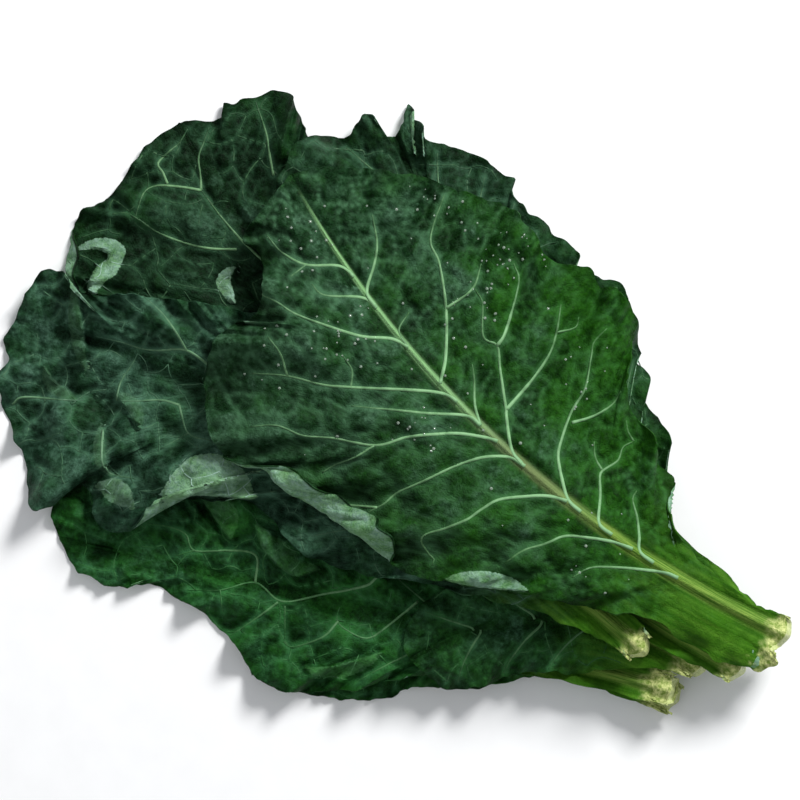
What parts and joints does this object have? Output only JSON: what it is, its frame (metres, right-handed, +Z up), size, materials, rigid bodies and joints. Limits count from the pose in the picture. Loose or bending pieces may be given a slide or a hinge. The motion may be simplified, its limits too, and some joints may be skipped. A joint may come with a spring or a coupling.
{
  "type": "kale bunch",
  "caption": "Broad waved kale leaves lying in a loose pile, midribs and side veins showing, with their cut stems together at one end",
  "frame": {"origin": "under the middle of the bunch's box, on the surface it lies on", "axes": "+X along the bunch towards the cut stems, +Y across it, +Z up"},
  "size_m": [0.436, 0.2954, 0.0595],
  "materials": {
    "kale_green": "waxy dark green leaf with paler veins"
  },
  "bodies": {
    "root": {"leaf_1": "kale_green", "leaf_2": "kale_green", "leaf_3": "kale_green", "leaf_4": "kale_green", "leaf_5": "kale_green", "leaf_6": "kale_green", "leaf_7": "kale_green"}
  },
  "joints": []
}
